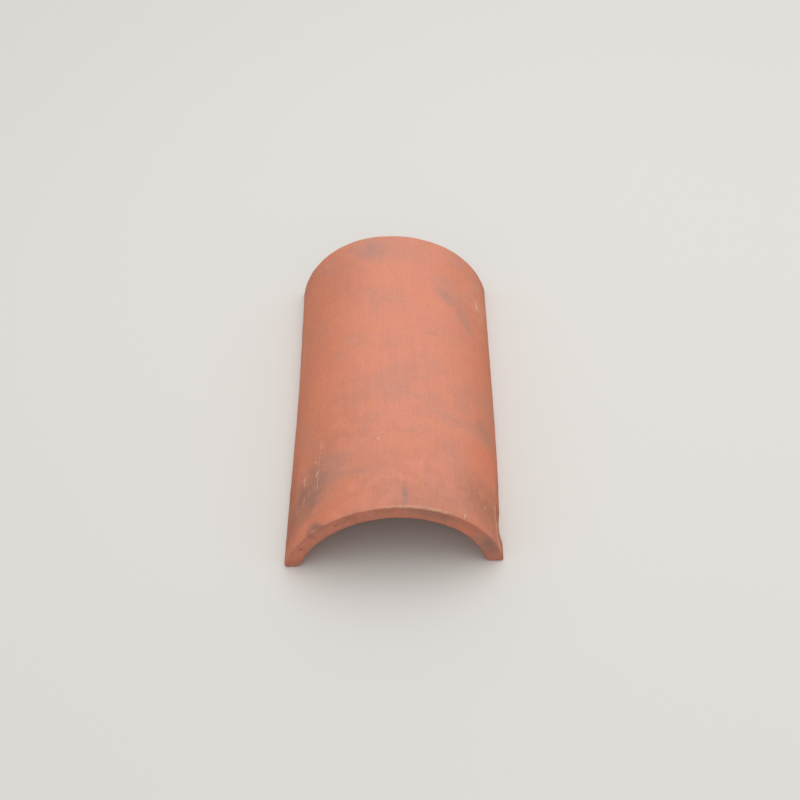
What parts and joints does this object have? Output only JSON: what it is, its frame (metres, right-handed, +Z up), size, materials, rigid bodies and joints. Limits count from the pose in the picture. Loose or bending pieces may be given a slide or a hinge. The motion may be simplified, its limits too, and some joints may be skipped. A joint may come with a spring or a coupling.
{
  "type": "clay ridge tile",
  "caption": "Plain arched terracotta ridge tile with level-cut feet and eased edges, laid end to end over the ridge or hip of a tiled roof.",
  "frame": {"origin": "on the floor under the middle of the tile, midway between its feet and its ends", "axes": "+X across the arch, +Y along its length from the end nearest the camera to the far end, +Z up from the feet to the crown"},
  "size_m": [0.2462, 0.457, 0.0999],
  "materials": {
    "fired_clay": "matt unglazed terracotta, kiln-flashed grey in clouds, with pale scratches and worn edges"
  },
  "bodies": {
    "root": {"ridge_tile": "fired_clay"}
  },
  "joints": []
}
